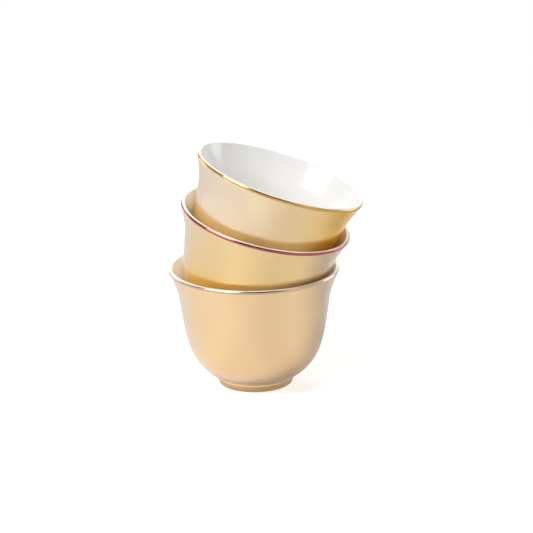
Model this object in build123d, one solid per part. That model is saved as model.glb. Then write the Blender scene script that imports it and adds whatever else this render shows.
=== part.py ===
from build123d import *
import math
import os

# A stack of handleless porcelain coffee cups, gold lustre outside and white inside.
# Each cup leans in the mouth of the one below and lifts out of it. Millimetres, +Z up.
# The origin is the centre of the bottom cup's foot, on the table.

# The cup's overall form
cup_height = 46.7
rim_radius = 33.0
lip_thickness = 1.7
lip_flare_angle = 26.0
wall_thickness = 2.4
heel_thickness = 3.1
heel_height = 15.5
lip_taper_height = 10.0

# The foot ring and the base
foot_radius = 14.3
foot_draft_angle = 16.0
foot_height = 3.0
foot_fillet_radius = 0.8
foot_ring_width = 2.0
foot_well_depth = 1.9
foot_well_fillet_radius = 0.8
bare_edge_height = 0.4
base_thickness = 3.7
floor_flat_radius = 7.5
body_start_angle = 60.0

# The coats, each as thick as the glaze it is fired on
glaze_thickness = 0.25
gilding_top_angle = 30.0

# The outer wall between the foot and the lip, as shares of that height and that width
outline_height_shares = (0.073, 0.195, 0.416, 0.710, 0.8325, 0.931)
outline_radius_shares = (0.250, 0.4815, 0.6635, 0.778, 0.8415, 0.928)

# How the upper cups sit: the lean of the axis, the compass heading of that lean,
# and the shift of the foot from the axis of the cup below
seat_clearance = 0.25
middle_lean_angle = 14.1
middle_heading_angle = -20.1
middle_shift_x = -5.7
middle_shift_y = 1.0
top_lean_angle = 6.62
top_heading_angle = 39.2
top_shift_x = -2.11
top_shift_y = -2.02

# Sampling used only to find how deep a leaning cup sinks
SEAT_RINGS = 48
SEAT_SPOTS = 72
SEAT_STEPS = 26
WALL_SAMPLES = 24

full_turn = 360.0
half_turn = 180.0


def at(radius, height):
    """A point of the section, which is drawn in the XZ plane and turned about Z."""
    return Vector(radius, 0, height)


def heading(angle):
    """The direction that leans outward from straight up by an angle in degrees."""
    return Vector(math.sin(math.radians(angle)), 0, math.cos(math.radians(angle)))


def inward(direction):
    """The direction square to a curve that climbs the wall, into the clay."""
    return Vector(-direction.Z, 0, direction.X)


def beside(curve, share, distance):
    """A point at a share of a curve's length, moved square to it into the clay."""
    return (curve @ share) + inward(curve % share) * distance


def smooth(share):
    """An even blend from 0 to 1."""
    kept = min(max(share, 0), 1)
    return kept * kept * (3 - 2 * kept)


# The lip is half a bead. Its middle and the two ends of its arc carry the walls
lip_radius = lip_thickness / 2
lip_middle = at(rim_radius - lip_radius, cup_height - lip_radius)
flare = heading(lip_flare_angle)


def lip_point(angle, radius):
    """A point round the lip's bead, from 0 facing out to 90 at the crest."""
    turn = math.radians(angle)
    return lip_middle + at(radius * math.cos(turn), radius * math.sin(turn))


def lip_arc(low_angle, high_angle, radius):
    """The stretch of a bead round the lip's middle between two angles."""
    middle_angle = (low_angle + high_angle) / 2
    return ThreePointArc(
        lip_point(low_angle, radius),
        lip_point(middle_angle, radius),
        lip_point(high_angle, radius),
    )


outer_lip_angle = -lip_flare_angle
inner_lip_angle = half_turn - lip_flare_angle
core_lip_radius = lip_radius - glaze_thickness

# The foot: a straight side that leans out, then a fillet into the body
foot_side = heading(foot_draft_angle)
body_start = heading(body_start_angle)
foot_edge = at(foot_radius, bare_edge_height)
foot_rise = (foot_height - bare_edge_height) / foot_side.Z
foot_corner = foot_edge + foot_side * foot_rise
fillet_reach = foot_fillet_radius * math.tan(
    math.radians((body_start_angle - foot_draft_angle) / 2)
)
fillet_low = foot_corner - foot_side * fillet_reach
fillet_high = foot_corner + body_start * fillet_reach

# The body's outer wall, from the foot fillet to the lip
wall_top = lip_point(outer_lip_angle, lip_radius)
wall_rise = wall_top - fillet_high


def outline_point(height_share, radius_share):
    """A point of the outer wall between the foot and the lip."""
    return fillet_high + at(wall_rise.X * radius_share, wall_rise.Z * height_share)


outer_wall = Spline(
    fillet_high,
    *[outline_point(*pair) for pair in zip(outline_height_shares, outline_radius_shares)],
    wall_top,
    tangents=[body_start, flare],
)

# Heights inside: the well under the foot, then the floor of the bowl
floor_height = foot_well_depth + base_thickness
well_radius = foot_radius - foot_ring_width


def thickness_at(height):
    """The wall is thickest at the heel, even in the middle and thin at the lip."""
    up_from_floor = (height - floor_height) / (heel_height - floor_height)
    thick = heel_thickness + (wall_thickness - heel_thickness) * smooth(up_from_floor)
    below_lip = (cup_height - height) / lip_taper_height
    return lip_thickness + (thick - lip_thickness) * smooth(below_lip)


def wall_shares(first, last):
    """Even places along the outer wall, both ends included."""
    step = (last - first) / (WALL_SAMPLES - 1)
    return [first + step * number for number in range(WALL_SAMPLES)]


# Shares of the outer wall's length that the bowl's wall is taken from
bowl_start_share = 0.13
bowl_end_share = 0.985


def bowl_wall(depth):
    """The wall of the bowl, from its flat floor to the lip, sunk into the clay."""
    places = wall_shares(bowl_start_share, bowl_end_share)
    points = [
        beside(outer_wall, place, thickness_at((outer_wall @ place).Z) - depth)
        for place in places
    ]
    lip_end = lip_point(inner_lip_angle, lip_radius - depth)
    floor_end = at(floor_flat_radius, floor_height - depth)
    return Spline(floor_end, *points, lip_end, tangents=[at(1, 0), flare])


def foot_wall(depth):
    """The foot's side and its fillet, sunk into the clay."""
    side_in = inward(foot_side) * depth
    low = foot_edge + side_in
    middle = fillet_low + side_in
    high = fillet_high + inward(body_start) * depth
    return [Line(low, middle), TangentArc(middle, high, tangent=foot_side)]


def body_wall(depth):
    """The body's outer wall, sunk into the clay."""
    if depth == 0:
        return outer_wall
    points = [beside(outer_wall, place, depth) for place in wall_shares(0, 1)]
    return Spline(*points, tangents=[body_start, flare])


def well_wall(depth):
    """The underside inside the foot ring, from the ring's edge to the axis."""
    radius = well_radius + depth
    top = foot_well_depth + depth
    fillet = foot_well_fillet_radius
    side_top = at(radius, top - fillet)
    flat_end = at(radius - fillet, top)
    return [
        Line(at(radius, bare_edge_height), side_top),
        TangentArc(side_top, flat_end, tangent=at(0, 1)),
        Line(flat_end, at(0, top)),
    ]


def turned(*curves):
    """A solid of revolution from the closed outline of its section."""
    return revolve(make_face(curves), axis=Axis.Z, revolution_arc=full_turn)


def make_porcelain_body():
    """The white clay: bowl, base and foot ring in one piece, bare on the foot's rim."""
    depth = glaze_thickness
    side, fillet = foot_wall(depth)
    well_side, well_fillet, well_flat = well_wall(depth)
    bowl = bowl_wall(depth)
    rim_outer = at(foot_radius - bare_edge_height, 0)
    rim_inner = at(well_radius + bare_edge_height, 0)
    well_edge = at(well_radius, bare_edge_height)
    bowl_centre = at(0, floor_height - depth)
    return turned(
        Line(bowl_centre, bowl @ 0),
        bowl,
        lip_arc(outer_lip_angle, inner_lip_angle, core_lip_radius),
        body_wall(depth),
        fillet,
        side,
        Line(side @ 0, foot_edge),
        TangentArc(rim_outer, foot_edge, tangent=at(1, 0)),
        Line(rim_outer, rim_inner),
        TangentArc(rim_inner, well_edge, tangent=at(-1, 0)),
        Line(well_edge, well_side @ 0),
        well_side,
        well_fillet,
        well_flat,
        Line(at(0, foot_well_depth + depth), bowl_centre),
    )


def make_liner_glaze():
    """The white glaze that lines the bowl and laps over the lip to the gilding."""
    skin, under = bowl_wall(0), bowl_wall(glaze_thickness)
    centre, centre_under = at(0, floor_height), at(0, floor_height - glaze_thickness)
    top = lip_point(gilding_top_angle, lip_radius)
    top_under = lip_point(gilding_top_angle, core_lip_radius)
    return turned(
        Line(centre, skin @ 0),
        skin,
        lip_arc(gilding_top_angle, inner_lip_angle, lip_radius),
        Line(top, top_under),
        lip_arc(gilding_top_angle, inner_lip_angle, core_lip_radius),
        under,
        Line(under @ 0, centre_under),
        Line(centre_under, centre),
    )


def make_lip_gilding():
    """The bright gold line round the outer edge of the lip."""
    return turned(
        lip_arc(outer_lip_angle, gilding_top_angle, lip_radius),
        Line(
            lip_point(gilding_top_angle, lip_radius),
            lip_point(gilding_top_angle, core_lip_radius),
        ),
        lip_arc(outer_lip_angle, gilding_top_angle, core_lip_radius),
        Line(
            lip_point(outer_lip_angle, core_lip_radius),
            lip_point(outer_lip_angle, lip_radius),
        ),
    )


def make_gold_lustre():
    """The satin gold coat from the gilding down to the foot's bare edge."""
    side, fillet = foot_wall(0)
    side_under, fillet_under = foot_wall(glaze_thickness)
    under = body_wall(glaze_thickness)
    return turned(
        side,
        fillet,
        outer_wall,
        Line(outer_wall @ 1, under @ 1),
        under,
        fillet_under,
        side_under,
        Line(side_under @ 0, side @ 0),
    )


def make_well_glaze():
    """The white glaze on the underside, inside the foot ring."""
    side, fillet, flat = well_wall(0)
    side_under, fillet_under, flat_under = well_wall(glaze_thickness)
    return turned(
        side,
        fillet,
        flat,
        Line(at(0, foot_well_depth), at(0, foot_well_depth + glaze_thickness)),
        flat_under,
        fillet_under,
        side_under,
        Line(side_under @ 0, side @ 0),
    )


def leaning(lean_angle, heading_angle):
    """The turn that tips a cup's axis by an angle towards a compass heading."""
    return Rot(Z=heading_angle) * Rot(Y=lean_angle) * Rot(Z=-heading_angle)


def profile_samples(curve, count):
    """Points spread evenly along a curve of the section."""
    return [curve @ (number / (count - 1)) for number in range(count)]


def bowl_radius_at(height, bowl_points):
    """The radius of the bowl at a height, and how much its wall leans there."""
    for low, high in zip(bowl_points, bowl_points[1:]):
        if low.Z <= height <= high.Z:
            share = (height - low.Z) / (high.Z - low.Z)
            lean = math.atan2(high.X - low.X, high.Z - low.Z)
            return low.X + (high.X - low.X) * share, math.cos(lean)
    return None


def seat_height(tilt, shift_x, shift_y):
    """How high a leaning cup's foot rests in the cup below, by halving the gap's range."""
    bowl_points = profile_samples(bowl_wall(0), SEAT_RINGS)
    rings = profile_samples(outer_wall, SEAT_RINGS)
    spots = [
        (tilt * Pos(point.X * math.cos(turn), point.X * math.sin(turn), point.Z)).position
        for point in rings
        for turn in [2 * math.pi * number / SEAT_SPOTS for number in range(SEAT_SPOTS)]
    ]

    def closest(rise):
        gaps = []
        for spot in spots:
            found = bowl_radius_at(spot.Z + rise, bowl_points)
            if found:
                wall_radius, squareness = found
                reach = math.hypot(spot.X + shift_x, spot.Y + shift_y)
                gaps.append((wall_radius - reach) * squareness)
        return min(gaps, default=cup_height)

    low, high = 0, cup_height
    for _ in range(SEAT_STEPS):
        middle = (low + high) / 2
        if closest(middle) < seat_clearance:
            low = middle
        else:
            high = middle
    return high


def seated(lean_angle, heading_angle, shift_x, shift_y):
    """Where a leaning cup stands in the frame of the cup below it."""
    tilt = leaning(lean_angle, heading_angle)
    return Pos(shift_x, shift_y, seat_height(tilt, shift_x, shift_y)) * tilt


def cup_pieces():
    """The pieces of one cup, upright, with its foot on the origin."""
    return {
        "porcelain_body": make_porcelain_body(),
        "liner_glaze": make_liner_glaze(),
        "lip_gilding": make_lip_gilding(),
        "gold_lustre": make_gold_lustre(),
        "foot_well_glaze": make_well_glaze(),
    }


bottom_place = Location()
middle_place = seated(
    middle_lean_angle, middle_heading_angle, middle_shift_x, middle_shift_y
)
top_place = middle_place * seated(
    top_lean_angle, top_heading_angle, top_shift_x, top_shift_y
)

os.makedirs("parts", exist_ok=True)
pieces = cup_pieces()
for cup_name, place in (
    ("bottom", bottom_place),
    ("middle", middle_place),
    ("top", top_place),
):
    for piece_name, piece in pieces.items():
        export_step(place * piece, f"parts/{cup_name}_{piece_name}.step")
    axis = (place * Pos(0, 0, 1)).position - place.position
    print(cup_name, "cup stands at", place.position, "along", axis)
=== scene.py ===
# %% [markdown]
# # Three gold coffee cups in a leaning stack
#
# The object is three small porcelain coffee cups without handles. They are white inside and coated
# with satin gold outside, and each of the upper two leans in the mouth of the one below. The packed
# frame already holds every cup at its real size and place. This file gives the cups their skin:
# coats of lustre, gilding and glaze turned as fine meshes, finishes made from nodes, a white studio
# and a camera.

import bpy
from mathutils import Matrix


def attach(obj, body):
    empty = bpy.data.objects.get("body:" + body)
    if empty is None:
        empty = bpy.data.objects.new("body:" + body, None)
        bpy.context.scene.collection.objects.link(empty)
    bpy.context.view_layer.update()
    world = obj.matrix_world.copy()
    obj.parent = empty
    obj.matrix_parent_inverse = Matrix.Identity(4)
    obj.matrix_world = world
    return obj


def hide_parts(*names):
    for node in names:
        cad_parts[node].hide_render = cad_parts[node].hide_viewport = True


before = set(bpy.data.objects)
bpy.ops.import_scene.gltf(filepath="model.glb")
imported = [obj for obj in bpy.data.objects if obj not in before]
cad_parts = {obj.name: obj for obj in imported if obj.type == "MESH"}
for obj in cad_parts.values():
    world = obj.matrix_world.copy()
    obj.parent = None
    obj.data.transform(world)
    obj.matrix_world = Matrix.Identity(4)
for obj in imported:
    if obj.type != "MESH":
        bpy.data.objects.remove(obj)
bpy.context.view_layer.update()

# %% [markdown]
# Lengths below are written in millimetres, as on a potter's drawing, and Blender counts in metres.
# One scale value turns the first into the second, and it is used only where a thing gets its place.

# %% Units and imports
import math

import bmesh
import bpy
import numpy as np
from mathutils import Matrix, Vector

MM = 0.001
CUPS = ("bottom", "middle", "top")
print("cups from the table up:", ", ".join(CUPS))

# %% [markdown]
# ## Where each cup stands
#
# The bottom cup stands upright, and the other two lean. Their places could be typed here, but the
# frame knows them, and a typed place would be wrong as soon as the part's sizes changed. So they are
# measured from the packed solids, whose corner points are read first. Equal points are merged,
# because a ring that is counted twice at its seam would pull a centre towards that seam.


# %% Read the points of a packed solid
def points_of(node):
    """The corner points of a packed node, each once, in metres."""
    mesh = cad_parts[node].data
    points = np.empty(len(mesh.vertices) * 3)
    mesh.vertices.foreach_get("co", points)
    return np.unique(points.reshape(-1, 3).round(7), axis=0)


print("the bottom cup's gilding has", len(points_of("bottom_lip_gilding")), "points")

# %% [markdown]
# The gilded line round a lip is a ring. Its points spread widely in two directions and hardly at all
# along the third, and that third direction is the cup's axis. The lowest point of the clay along the
# axis gives the foot. From both comes one matrix that carries an upright cup to its place.


# %% Find each cup's place from its lip and its foot
def place_of(cup):
    """The matrix that carries an upright cup, with its foot on the origin, to its place."""
    ring = points_of(f"{cup}_lip_gilding")
    centre = ring.mean(axis=0)
    _, directions = np.linalg.eigh(np.cov((ring - centre).T))
    axis = directions[:, 0] * np.sign(directions[2, 0])
    foot_height = (points_of(f"{cup}_porcelain_body") @ axis).min()
    foot = centre + axis * (foot_height - centre @ axis)
    lean = Vector((0, 0, 1)).rotation_difference(Vector(axis))
    return Matrix.Translation(Vector(foot)) @ lean.to_matrix().to_4x4()


places = {cup: place_of(cup) for cup in CUPS}
for cup, place in places.items():
    tilt = math.degrees(Vector((0, 0, 1)).angle(place.to_3x3() @ Vector((0, 0, 1))))
    foot = [round(length / MM, 2) for length in place.translation]
    print(f"{cup} cup: foot at {foot} mm, leans {tilt:.2f} degrees")

# %% [markdown]
# ## The section of a cup
#
# A real cup is thrown or pressed round an axis, so one section says all about its form. It could be
# modelled as a stack of rings, but a section with few knots is easier to read and to change. Each
# knot has a radius, a height and the lean of the wall there, in degrees from straight up: 0 is
# upright, 90 runs outward and -90 inward. A curve that knows its direction at both ends of every
# stretch fills in the rest.
#
# The lip is a half-round bead, so its knots come from an angle. The cup's radius there is five
# thousandths of a millimetre less than the packed cup's 33 mm, so that no corner of a facet stands
# outside the packed cups.

# %% The lip
cup_height = 46.7
rim_radius = 32.995
lip_radius = 0.85
lip_flare = 26.0


def lip_knot(angle):
    """A knot on the bead of the lip, from 0 facing outward to 90 on the crest."""
    turn = math.radians(angle)
    radius = rim_radius - lip_radius + lip_radius * math.cos(turn)
    height = cup_height - lip_radius + lip_radius * math.sin(turn)
    return radius, height, -angle


print("the crest of the lip is", round(2 * lip_knot(90)[0], 2), "mm across")

# %% [markdown]
# The outside runs from the bare edge of the foot over a small waist into the bowl, turns nearly
# upright, and flares to the lip. The first five knots are the foot: its wall leans out a little,
# and the waist above it is a tight hollow, which catches a line of light on the real cup.

# %% The outside, from the foot to the lip
foot_radius = 14.3
bare_edge = 0.4
lustre_section = [
    (foot_radius, bare_edge, 16.0),
    (14.95, 2.25, 14.0),
    (15.00, 2.62, -22.0),
    (15.02, 2.95, 20.0),
    (15.50, 3.30, 60.0),
    (19.72, 6.25, 48.0),
    (23.80, 11.42, 29.1),
    (27.00, 20.76, 11.9),
    (29.01, 33.21, 8.7),
    (30.12, 38.38, 17.4),
    (31.65, 42.55, 20.0),
    lip_knot(-lip_flare),
]
print("the lustre's section has", len(lustre_section), "knots")

# %% [markdown]
# Above the lustre, a gilded line covers the outer part of the bead. The white glaze takes over where
# the gilding ends, goes over the crest and runs down the inside to the middle of the floor. Its
# knots are listed from the lip down, with the lean that the wall has on its way up, so half a turn
# is taken off each lean.

# %% The gilding and the inside
gilding_top = 54.0
floor_height = 5.6
half_turn = 180.0
gilding_section = [lip_knot(-lip_flare), lip_knot(gilding_top)]
bowl_knots = [
    (29.58, 42.80, 25.9),
    (27.54, 38.05, 16.4),
    (26.17, 30.42, 8.3),
    (24.95, 22.76, 10.8),
    (23.39, 16.49, 18.9),
    (20.93, 11.97, 37.8),
    (17.30, 8.30, 53.4),
    (12.63, 6.15, 76.2),
    (7.50, floor_height, 90.0),
    (0.0, floor_height, 90.0),
]
liner_section = [
    lip_knot(gilding_top),
    lip_knot(half_turn / 2),
    lip_knot(half_turn - lip_flare),
    *[(radius, height, lean - half_turn) for radius, height, lean in bowl_knots],
]
print("the liner's section has", len(liner_section), "knots")

# %% [markdown]
# Under the cup, the foot ring stands round a shallow well. It is glazed too, up to a small fillet
# and across to the axis. Only the ring's own edge stays bare, because glaze there would stick to the
# shelf of the kiln.

# %% The foot well
foot_well_radius = 12.3
foot_well_depth = 1.9
foot_well_fillet = 0.8
well_section = [
    (foot_well_radius, bare_edge, 0.0),
    (foot_well_radius, foot_well_depth - foot_well_fillet, 0.0),
    (foot_well_radius - foot_well_fillet, foot_well_depth, -half_turn / 2),
    (0.0, foot_well_depth, -half_turn / 2),
]
print("the foot well is", 2 * foot_well_radius, "mm across and", foot_well_depth, "mm deep")

# %% [markdown]
# ## From section to coat
#
# The knots become a Bezier curve, because Blender samples one evenly and keeps its ends exact. A
# handle that is two thirds of the chord, divided by one plus the cosine of half the turn, draws a
# true arc where the knots lie on a circle, so the same rule serves the rounded lip and the long
# wall. The curve is made a mesh, which gives a chain of short edges.

# %% Draw a section as a curve and sample it
CURVE_STEPS = 8


def direction(lean):
    """The way a section runs where the wall leans by an angle in degrees."""
    return Vector((math.sin(math.radians(lean)), 0, math.cos(math.radians(lean))))


def section_chain(name, knots):
    """A bmesh with the section as a chain of edges in the XZ plane, in millimetres."""
    curve = bpy.data.curves.new(name, "CURVE")
    curve.dimensions = "3D"
    spline = curve.splines.new("BEZIER")
    spline.bezier_points.add(len(knots) - 1)
    spline.resolution_u = CURVE_STEPS
    corners = spline.bezier_points
    for corner, (radius, height, lean) in zip(corners, knots):
        corner.co = (radius, 0, height)
        corner.handle_left_type = corner.handle_right_type = "FREE"
    for first, second, start, end in zip(corners, corners[1:], knots, knots[1:]):
        turn = math.radians(end[2] - start[2])
        reach = (second.co - first.co).length * 2 / 3 / (1 + math.cos(turn / 2))
        first.handle_right = first.co + reach * direction(start[2])
        second.handle_left = second.co - reach * direction(end[2])
    holder = bpy.data.objects.new(name, curve)
    mesh = bpy.data.meshes.new_from_object(holder)
    chain = bmesh.new()
    chain.from_mesh(mesh)
    bpy.data.objects.remove(holder)
    bpy.data.curves.remove(curve)
    bpy.data.meshes.remove(mesh)
    return chain


trial = section_chain("trial", lustre_section)
print("the lustre's section is sampled to", len(trial.edges), "edges")
trial.free()

# %% [markdown]
# The spin operator turns the chain once round the axis. On a real cup every coat lies on the clay,
# so a coat needs thickness on the clay's side only. The solidify operator grows it against the
# normals, which have to look away from the clay: at the first knot, that is a quarter turn to the
# right of the section's own direction, and the whole skin is turned over if its face there looks the
# other way.


# %% Make a skin look away from the clay
def face_outward(shell, knots):
    """Turns the skin over if its faces look into the clay instead of away from it."""
    radius, height, lean = knots[0]
    away = direction(lean + half_turn / 2)
    spot = Vector((radius, 0, height))
    nearest = min(shell.faces, key=lambda face: (face.calc_center_median() - spot).length)
    if nearest.normal.dot(away) < 0:
        bmesh.ops.reverse_faces(shell, faces=shell.faces[:])


foot_lean = lustre_section[0][2]
print("at the foot, away from the clay is", direction(foot_lean + half_turn / 2).to_tuple(2))

# %% [markdown]
# Each coat is a closed shell, turned upright in millimetres and then carried to its cup's place, so
# that its object stays at the origin. The seam of the spin and the points on the axis are merged
# before the normals are made to agree, and only then does the wall get its thickness.

# %% Turn a section into a closed coat
AROUND = 160
coat_thickness = 0.25
merge_distance = 1e-4


def turn_coat(name, knots, cup):
    """A coat of one cup: its section turned round the axis, thickened into the clay."""
    shell = section_chain(name, knots)
    bmesh.ops.spin(
        shell,
        geom=shell.verts[:] + shell.edges[:],
        cent=(0, 0, 0),
        axis=(0, 0, 1),
        angle=math.tau,
        steps=AROUND,
        use_merge=True,
        use_duplicate=False,
    )
    bmesh.ops.remove_doubles(shell, verts=shell.verts[:], dist=merge_distance)
    bmesh.ops.recalc_face_normals(shell, faces=shell.faces[:])
    face_outward(shell, knots)
    bmesh.ops.solidify(shell, geom=shell.faces[:], thickness=coat_thickness)
    bmesh.ops.transform(shell, matrix=places[cup] @ Matrix.Scale(MM, 4), verts=shell.verts[:])
    for face in shell.faces:
        face.smooth = True
    mesh = bpy.data.meshes.new(name)
    shell.to_mesh(mesh)
    shell.free()
    piece = bpy.data.objects.new(name, mesh)
    bpy.context.scene.collection.objects.link(piece)
    return piece


print("a coat is", coat_thickness, "mm thick, with", AROUND, "faces once round")

# %% [markdown]
# ## Finishes
#
# A finish is a tree of nodes. It could be wired link by link, but a sum reads best as a sum. So one
# small class wraps a socket and gives it Python's operators, and each operator adds the Math node
# that does the sum. The reflected forms serve a plain number on the left, as in 1 - mask.


# %% A socket that can be calculated with
class Flow:
    """A value on its way between two nodes of a finish."""

    def __init__(self, finish, socket):
        self.finish = finish
        self.socket = socket

    def __add__(self, other):
        return self.finish.maths("ADD", self, other)

    def __radd__(self, other):
        return self.finish.maths("ADD", other, self)

    def __sub__(self, other):
        return self.finish.maths("SUBTRACT", self, other)

    def __rsub__(self, other):
        return self.finish.maths("SUBTRACT", other, self)

    def __mul__(self, other):
        return self.finish.maths("MULTIPLY", self, other)

    def __rmul__(self, other):
        return self.finish.maths("MULTIPLY", other, self)

    def __truediv__(self, other):
        return self.finish.maths("DIVIDE", self, other)

    def __rtruediv__(self, other):
        return self.finish.maths("DIVIDE", other, self)

    def __pow__(self, other):
        return self.finish.maths("POWER", self, other)

    def __rpow__(self, other):
        return self.finish.maths("POWER", other, self)


print("a flow knows + - * / and **, from either side")

# %% [markdown]
# Every other node comes from one method, which takes the node's type, its settings and what its
# sockets hold. The helpers below it are named for what they do to a finish. Two of them matter most
# here. `local` reads the point being shaded in the drawing of the upright cup, so that one recipe
# fits all three cups however they lean. `veil` lays a second shader over the first.

# %% A finish and its nodes
# a Mix node has sockets for every kind of data, and these are the ones for colours
COLOUR_A, COLOUR_B, COLOUR_OUT = 6, 7, 2


class Finish:
    """One material while it is being made."""

    def __init__(self, name, constants):
        self.material = bpy.data.materials.new(name)
        self.material.use_nodes = True
        self.tree = self.material.node_tree
        self.shader = self.tree.nodes["Principled BSDF"]
        for socket, value in constants.items():
            self.surface(socket, value)

    def node(self, kind, settings, sockets, output=0):
        """Adds a node: its settings first, then what its sockets hold, and gives one output."""
        made = self.tree.nodes.new(kind)
        for setting, value in settings.items():
            if setting == "stops":
                self.set_stops(made.color_ramp.elements, value)
            else:
                setattr(made, setting, value)
        for socket, value in sockets.items():
            self.feed(made.inputs[socket], value)
        return Flow(self, made.outputs[output])

    def set_stops(self, elements, stops):
        """Gives a colour ramp its stops, each a position and a grey from 0 to 1."""
        for _ in stops[2:]:
            elements.new(1.0)
        for element, (position, share) in zip(elements, stops):
            element.position = position
            element.color = (share, share, share, 1.0)

    def feed(self, socket, value):
        """Links a flow to a socket, or sets the socket to a plain value."""
        if isinstance(value, Flow):
            self.tree.links.new(value.socket, socket)
        else:
            socket.default_value = value

    def surface(self, socket, value):
        """Feeds one socket of the surface shader."""
        self.feed(self.shader.inputs[socket], value)

    def veil(self, share, sockets):
        """Lays a second shader over the first one, showing by a share."""
        first = Flow(self, self.shader.outputs[0])
        over = self.node("ShaderNodeBsdfPrincipled", {}, sockets)
        mixed = self.node("ShaderNodeMixShader", {}, {0: share, 1: first, 2: over})
        self.feed(self.tree.nodes["Material Output"].inputs["Surface"], mixed)

    def maths(self, operation, first, second):
        """One Math node between two values."""
        return self.node("ShaderNodeMath", {"operation": operation}, {0: first, 1: second})

    def local(self, cup):
        """Object coordinates turned back to the upright cup, with its foot on the origin."""
        spot = self.node("ShaderNodeTexCoord", {}, {}, output="Object")
        place = places[cup]
        sockets = {"Vector": spot, "Location": place.translation, "Rotation": place.to_euler()}
        return self.node("ShaderNodeMapping", {"vector_type": "TEXTURE"}, sockets)

    def parts(self, vector):
        """The three numbers of a vector: to the right, to the back and up."""
        split = self.node("ShaderNodeSeparateXYZ", {}, {"Vector": vector}).socket.node
        return [Flow(self, output) for output in split.outputs]

    def noise(self, spot, size, detail=2.0):
        """Noise from 0 to 1 whose blotches are about one size across, in millimetres."""
        sockets = {"Vector": spot, "Scale": 1 / (size * MM), "Detail": detail}
        return self.node("ShaderNodeTexNoise", {}, sockets)

    def ramp(self, value, stops):
        """A share that follows a value from 0 to 1 through the stops of a ramp."""
        return self.node("ShaderNodeValToRGB", {"stops": stops}, {"Fac": value})

    def blend(self, share, first, second):
        """A colour between two colours."""
        sockets = {"Factor": share, COLOUR_A: first, COLOUR_B: second}
        return self.node("ShaderNodeMix", {"data_type": "RGBA"}, sockets, output=COLOUR_OUT)

    def bump(self, height, depth):
        """Bumps a height from 0 to 1 by a depth in millimetres."""
        sockets = {"Height": height, "Distance": depth * MM, "Strength": 1.0}
        self.surface("Normal", self.node("ShaderNodeBump", {}, sockets))


print("helpers of a finish:", ", ".join(name for name in vars(Finish) if not name.startswith("_")))

# %% [markdown]
# A designer writes a colour as three numbers from 0 to 255, as a screen shows it. The shader counts
# light, so the screen's curve is undone first.


# %% Colours as a designer writes them
def colour(red, green, blue):
    """A colour from 0 to 255 as it looks on a screen, made linear for the shader."""
    parts = [value / 255 for value in (red, green, blue)]
    linear = [p / 12.92 if p <= 0.04045 else ((p + 0.055) / 1.055) ** 2.4 for p in parts]
    return (*linear, 1.0)


print("middle grey lets through", round(colour(128, 128, 128)[0], 3), "of the light")

# %% [markdown]
# ### Satin gold lustre
#
# The outside is gold fired on to glaze. It shines like metal but softly, and a pale, milky bloom lies
# over the gold, thicker in some places than in others, partly as painted light. Plain gold would look
# like a polished cup, and a paler gold would lose its depth. So the gold is a Principled metal with a
# soft roughness, and the bloom is a second, nearly white metal laid over it like a veil.
#
# The veil's share is written for each cup as stops up its wall, in millimetres. On the bottom cup, a
# thick band in the hollow above the foot is a painted highlight, the line of light that the waist
# catches. On the upper cups, a thin ring on the lower half is a painted reflection: the gold looks
# more yellow just above the lip that they lean in, where the wall mirrors the cup below. The veil
# thins from left to right, which paints shade on the right side, and its edge adds to it, or takes
# from it, where the surface turns away from the eye. A deeper colour let in on the right side of the
# top cup is painted shade and reflection too.

# %% How the lustre differs from cup to cup
# and a thinner ring on the upper cups, a painted reflection of the cup below
# the veil stops hold painted light: a painted highlight band over the bottom cup's waist,
LUSTRE = {
    "bottom": {
        "pale": colour(246, 204, 113),
        "deep": colour(240, 194, 100),
        "blush": 0.0,
        "veil": [(0.0, 0.12), (2.3, 0.15), (2.9, 0.6), (3.8, 0.6), (4.7, 0.3), (46.7, 0.3)],
        "slope": 0.0,
        "edge": 0.6,
    },
    "middle": {
        "pale": colour(239, 202, 108),
        "deep": colour(232, 194, 98),
        "blush": 0.0,
        "veil": [(0.0, 0.16), (16.0, 0.16), (21.0, 0.06), (24.0, 0.06), (29.0, 0.21), (46.7, 0.26)],
        "slope": 0.0,
        "edge": 0.6,
    },
    "top": {
        "pale": colour(234, 201, 112),
        "deep": colour(250, 197, 78),
        # painted shade and reflection: a deeper colour on the right side of this cup
        "blush": 2.3,
        "veil": [(0.0, 0.22), (16.0, 0.22), (21.0, 0.11), (24.0, 0.11), (29.0, 0.34), (46.7, 0.37)],
        # painted shade: the veil thins towards this cup's right side
        "slope": 0.8,
        "edge": -0.35,
    },
}
MILK = colour(250, 240, 246)
for cup, look in LUSTRE.items():
    thickest = max(share for _, share in look["veil"])
    print(f"{cup} cup: the veil covers up to {thickest:.0%} of the gold")

# %% [markdown]
# Real lustre is never quite even. Clouds of two sizes, one as wide as a thumb and one like fine
# grain, shift its roughness a little, and the large ones its colour too. A very shallow bump keeps
# long reflections from looking drawn.


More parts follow.
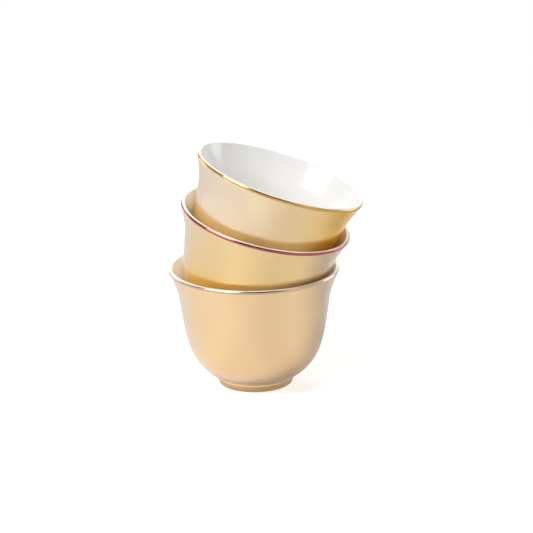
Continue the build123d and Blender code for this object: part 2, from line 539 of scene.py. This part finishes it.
# %% The lustre's finish
def gold_lustre_finish(cup):
    """Satin gold under a milky veil, with painted highlight, reflection and shade in its share and
    tone.
    """
    finish = Finish(f"{cup}_satin_gold", {"Metallic": 1.0})
    look = LUSTRE[cup]
    spot = finish.local(cup)
    right, _, up = finish.parts(spot)
    side = right / (rim_radius * MM)
    stops = [(rise / cup_height, share) for rise, share in look["veil"]]
    # these stops carry the painted highlight band and the painted reflection ring as well as the
    # bloom
    bloom_and_painted_light = finish.ramp(up / (cup_height * MM), stops)
    facing = finish.node("ShaderNodeLayerWeight", {}, {"Blend": 0.5}, output="Facing")
    # thinning the veil towards the right paints shade on that side
    share = bloom_and_painted_light * (1 - look["slope"] * side) + look["edge"] * facing**3
    finish.veil(share, {"Base Color": MILK, "Metallic": 1.0, "Roughness": 0.27})
    clouds = finish.noise(spot, size=14.0)
    grain = finish.noise(spot, size=0.8, detail=3.0)
    # the cubed right-hand term paints shade and reflection as deeper colour on the right side
    tone = 0.3 * clouds + look["blush"] * side * side * side
    finish.surface("Base Color", finish.blend(tone, look["pale"], look["deep"]))
    finish.surface("Roughness", 0.15 + 0.03 * clouds + 0.02 * grain)
    finish.bump(finish.noise(spot, size=5.0), depth=0.01)
    print(finish.material.name, "has", len(finish.tree.nodes), "nodes")
    return finish.material


# %% [markdown]
# ### Bright gilding
#
# The line round the lip is liquid gold, painted with a brush on a turning wheel and fired bright. It
# is nearly a mirror, so most of its look comes from what stands round it, and its own finish is
# short: a plain metal with a roughness close to none, in two tones that the brush leaves. Dark
# streaks could be painted into it, but a reflection moves with the eye and paint doesn't, so they are
# left to the room, further on. Each cup's gold has its own tone, and the middle one's is reddish.

# %% The gilding's finish
GILDING = {
    "bottom": {"pale": colour(224, 198, 174), "deep": colour(200, 168, 142)},
    "middle": {"pale": colour(190, 112, 112), "deep": colour(160, 76, 88)},
    "top": {"pale": colour(222, 180, 112), "deep": colour(198, 148, 82)},
}


def lip_gilding_finish(cup):
    """Bright gold with two tones of the brush."""
    finish = Finish(f"{cup}_bright_gold", {"Metallic": 1.0})
    look = GILDING[cup]
    brush = finish.noise(finish.local(cup), size=3.0)
    finish.surface("Base Color", finish.blend(brush, look["pale"], look["deep"]))
    finish.surface("Roughness", 0.02 + 0.03 * brush)
    print(finish.material.name, "has", len(finish.tree.nodes), "nodes")
    return finish.material


# %% [markdown]
# ### White glaze
#
# The inside and the foot well wear a clear, glossy glaze over white clay. A glass shell over a matt
# white core would be the true build-up, but one opaque shader whose index of refraction is that of
# a hard glaze looks the same and needs no second surface. Slight clouds and a shallow bump
# stand for the way glaze pools.


# %% The white glaze's finish
def white_glaze_finish(cup):
    """Glossy white with slight clouds."""
    finish = Finish(f"{cup}_white_glaze", {"IOR": 1.6})
    spot = finish.local(cup)
    clouds = finish.noise(spot, size=12.0)
    finish.surface("Base Color", finish.blend(clouds, colour(249, 248, 245), colour(246, 245, 242)))
    finish.surface("Roughness", 0.1 + 0.03 * clouds)
    finish.bump(finish.noise(spot, size=4.0), depth=0.008)
    print(finish.material.name, "has", len(finish.tree.nodes), "nodes")
    return finish.material


# %% [markdown]
# ### Bare clay
#
# Fired porcelain shows only on the narrow edge that the cup stands on. It is matt and finely grained,
# so one fine noise gives its colour, its roughness and its bump.


# %% The bare clay's finish
def bare_clay_finish(cup):
    """Matt fired clay."""
    finish = Finish(f"{cup}_bisque", {})
    grain = finish.noise(finish.local(cup), size=0.35, detail=4.0)
    finish.surface("Base Color", finish.blend(grain, colour(236, 231, 222), colour(222, 214, 202)))
    finish.surface("Roughness", 0.75 + 0.1 * grain)
    finish.bump(grain, depth=0.03)
    print(finish.material.name, "has", len(finish.tree.nodes), "nodes")
    return finish.material


# %% [markdown]
# ## Dress the cups
#
# All three cups are one form, so one table of coats serves them all: the section of each coat, the
# function that makes its finish, and its slot in the part's list of materials. Every coat rides on
# its cup's body, so that it lifts with the cup, and it takes the place of the packed solid of the
# same name. The clay keeps its packed solid, because it shows only at the foot.

# %% Turn and finish the coats of every cup
COATS = {
    "gold_lustre": (lustre_section, gold_lustre_finish, "satin_gold"),
    "lip_gilding": (gilding_section, lip_gilding_finish, "bright_gold"),
    "liner_glaze": (liner_section, white_glaze_finish, "white_glaze"),
    "foot_well_glaze": (well_section, white_glaze_finish, "white_glaze"),
}
for cup in CUPS:
    for coat, (section, make_finish, slot) in COATS.items():
        piece = turn_coat(f"{cup}_{coat}_skin", section, cup)
        piece.data.materials.append(make_finish(cup))
        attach(piece, f"{cup}_cup")
        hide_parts(f"{cup}_{coat}")
        print(piece.name, "has", len(piece.data.polygons), "faces")
    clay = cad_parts[f"{cup}_porcelain_body"]
    clay.data.materials.clear()
    clay.data.materials.append(bare_clay_finish(cup))

# %% [markdown]
# ## The studio
#
# The cups stand on a white table before a white ground. A brighter lamp would make both white, but it
# would burn out the cups as well. So the table glows a little for the camera alone, and still takes
# the cups' shadow. Rays that were mirrored or have gone through glass see a little of that glow too.

# %% The table
table_width = 800.0
glow_seen = 0.6
glow_mirrored = 0.08
WHITE = colour(255, 255, 255)
table_mesh = bmesh.new()
bmesh.ops.create_grid(table_mesh, x_segments=1, y_segments=1, size=table_width / 2 * MM)
table_data = bpy.data.meshes.new("table")
table_mesh.to_mesh(table_data)
table_mesh.free()
table = bpy.data.objects.new("table", table_data)
bpy.context.scene.collection.objects.link(table)


def seen_and_mirrored(finish):
    """1 for rays from the camera, and 1 for rays that were mirrored or have gone through glass."""
    seen = finish.node("ShaderNodeLightPath", {}, {}, output="Is Camera Ray")
    mirrored = finish.node("ShaderNodeLightPath", {}, {}, output="Is Glossy Ray")
    through = finish.node("ShaderNodeLightPath", {}, {}, output="Is Transmission Ray")
    return seen, mirrored + through


table_finish = Finish("table_white", {"Roughness": 0.9, "Specular IOR Level": 0.0})
seen, mirrored = seen_and_mirrored(table_finish)
table_finish.surface("Base Color", colour(233, 233, 233))
table_finish.surface("Emission Color", WHITE)
table_finish.surface("Emission Strength", glow_seen * seen + glow_mirrored * mirrored)
table_data.materials.append(table_finish.material)
print("the table is", table_width, "mm wide")

# %% [markdown]
# The world round the table is the white ground. It is full white for the camera, and gives the cups
# only a tenth of its light, so that the lamps shape them.
#
# Mirrored rays see it white too, but for a few headings. A studio is dark between its lamps and where
# the photographer stands, and a bright gold line mirrors just that. Each dark part of the room has a
# start and an end as a heading, 0 being the camera's side and 90 the right, and a strength. It begins
# well above the table's edge, so that the satin walls, which mostly mirror the table, stay almost
# clean.

# %% The dark parts of the room
ROOM = [(-168, -150, 0.6), (-128, -84, 0.6), (-24, 44, 1.0), (76, 120, 0.5), (150, 168, 0.6)]
room_fade = 6
# how far a ray climbs, as a share of its length, where the dark begins and where it is full
dark_from, dark_full = 0.25, 0.35


def room_stops():
    """The stops of a ramp once round the room, from behind on the left to behind on the right."""
    stops = []
    for start, end, strength in ROOM:
        ends = ((start - room_fade, 0.0), (start, strength), (end, strength), (end + room_fade, 0.0))
        stops += [((heading + half_turn) / (2 * half_turn), share) for heading, share in ends]
    return stops


print("the room's ramp has", len(room_stops()), "stops")

# %% [markdown]
# The world takes its nodes from the same class as the finishes, but its tree ends in a Background.
# The heading of a ray is the arctangent of its two level numbers. The Standard view then shows each
# colour as it is written.


# %% The white ground
class Ground(Finish):
    """The world's light, with the same way of adding nodes as a finish."""

    def __init__(self, name):
        self.world = bpy.data.worlds.new(name)
        self.world.use_nodes = True
        self.tree = self.world.node_tree
        self.shader = self.tree.nodes["Background"]


ground = Ground("studio")
bpy.context.scene.world = ground.world
seen, mirrored = seen_and_mirrored(ground)
right, rear, up = ground.parts(ground.node("ShaderNodeTexCoord", {}, {}, output="Generated"))
heading = ground.maths("ARCTAN2", right, -1 * rear)
dark = ground.ramp(heading / math.tau + 0.5, room_stops())
climb = {"Value": up, "From Min": dark_from, "From Max": dark_full}
above = ground.node("ShaderNodeMapRange", {}, climb)
ground_light = 0.1
ground_white = 1.0 - ground_light
ground.surface("Color", WHITE)
lit_room = mirrored * (1 - dark * above)
ground.surface("Strength", ground_light + ground_white * seen + ground_white * lit_room)
bpy.context.scene.view_settings.view_transform = "Standard"
print("the world has", len(ground.tree.nodes), "nodes")

# %% [markdown]
# ### Lamps
#
# A photographer lights glossy cups with soft boxes, because a shiny wall shows the shape of its
# lamp. Each lamp is an area light at a heading, 0 being the camera's side and 90 the right, and a
# rise above the table, both in degrees. The window on the left is the main one, and shows as the
# bright patch inside the top cup. The lamps that only fill shadows are hidden from mirrored rays.

# %% Soft boxes
stack_middle = Vector((0, 0, 50))


def softbox(name, heading, rise, distance, size, power, mirrored=True):
    """A square soft lamp that looks at the middle of the stack, in degrees and millimetres."""
    turn, lift = math.radians(heading), math.radians(rise)
    level, up = math.cos(lift), math.sin(lift)
    way = Vector((math.sin(turn) * level, -math.cos(turn) * level, up))
    lamp = bpy.data.lights.new(name, "AREA")
    lamp.size = size * MM
    lamp.energy = power
    box = bpy.data.objects.new(name, lamp)
    box.location = (stack_middle + distance * way) * MM
    box.rotation_euler = (-way).to_track_quat("-Z", "Y").to_euler()
    box.visible_glossy = mirrored
    bpy.context.scene.collection.objects.link(box)
    print(f"{name}: {power} W at {[round(v / MM) for v in box.location]} mm")


softbox("window", heading=-58, rise=50, distance=700, size=400, power=3.5)
softbox("ceiling", heading=0, rise=75, distance=700, size=500, power=0.5, mirrored=False)
softbox("fill", heading=50, rise=14, distance=800, size=500, power=1.7, mirrored=False)
softbox("front", heading=0, rise=30, distance=800, size=500, power=0.25, mirrored=False)
softbox("back", heading=180, rise=28, distance=800, size=500, power=1.4)
softbox("back_high", heading=180, rise=48, distance=800, size=500, power=0.7, mirrored=False)
softbox("rim_left", heading=-128, rise=11, distance=700, size=300, power=0.3)
softbox("rim_right", heading=118, rise=11, distance=700, size=300, power=0.5)

# %% [markdown]
# The walls of the cups flare, so they mirror the table more than the room. A lamp aimed at the cups
# would give them hard highlights. A soft pool of light on the table, in front of the cups and to the
# left, brightens the left half of the satin gold softly, from below.

# %% A pool of light on the table
pool_setback = 300.0
pool_lamp_height = 400.0
pool_lamp_radius = 10.0


def pool(name, heading, reach, radius, power):
    """A round, soft-edged pool of light on the table beside the stack, in degrees and millimetres."""
    turn = math.radians(heading)
    out = Vector((math.sin(turn), -math.cos(turn), 0))
    middle = out * reach
    place = middle + out * pool_setback + Vector((0, 0, pool_lamp_height))
    lamp = bpy.data.lights.new(name, "SPOT")
    lamp.energy = power
    lamp.spot_size = 2 * math.atan(radius / math.hypot(pool_setback, pool_lamp_height))
    lamp.spot_blend = 1.0
    lamp.shadow_soft_size = pool_lamp_radius * MM
    spot = bpy.data.objects.new(name, lamp)
    spot.location = place * MM
    spot.rotation_euler = (middle - place).to_track_quat("-Z", "Y").to_euler()
    spot.visible_glossy = False
    bpy.context.scene.collection.objects.link(spot)
    print(f"{name}: {2 * radius:.0f} mm across, {reach} mm from the middle of the table")


pool("pool_left", heading=-30, reach=95, radius=70, power=1.5)

# %% [markdown]
# ## The camera
#
# The photograph looks slightly down on the stack through a long lens, which keeps the three lips
# nearly the same shape. The camera could be set by eye, but its height, its distance, its aim and a
# slight roll were fitted to the ovals of the lips and the outlines of the walls.

# %% Camera
camera_distance = 930.0
camera_rise = 17.23
camera_roll = -0.96
camera_aim = (4.81, 0, 46.26)
camera_lens = 163.2

camera_data = bpy.data.cameras.new("camera")
camera = bpy.data.objects.new("camera", camera_data)
bpy.context.scene.collection.objects.link(camera)
rise = math.radians(camera_rise)
back = Vector((0, -math.cos(rise), math.sin(rise)))
camera.location = (Vector(camera_aim) + camera_distance * back) * MM
roll = Matrix.Rotation(math.radians(camera_roll), 3, "Z")
camera.rotation_euler = ((-back).to_track_quat("-Z", "Y").to_matrix() @ roll).to_euler()
camera_data.lens = camera_lens
bpy.context.scene.camera = camera
print("the camera stands at", [round(v / MM, 1) for v in camera.location], "mm")

# %% [markdown]
# The second box has to lie within the first one.
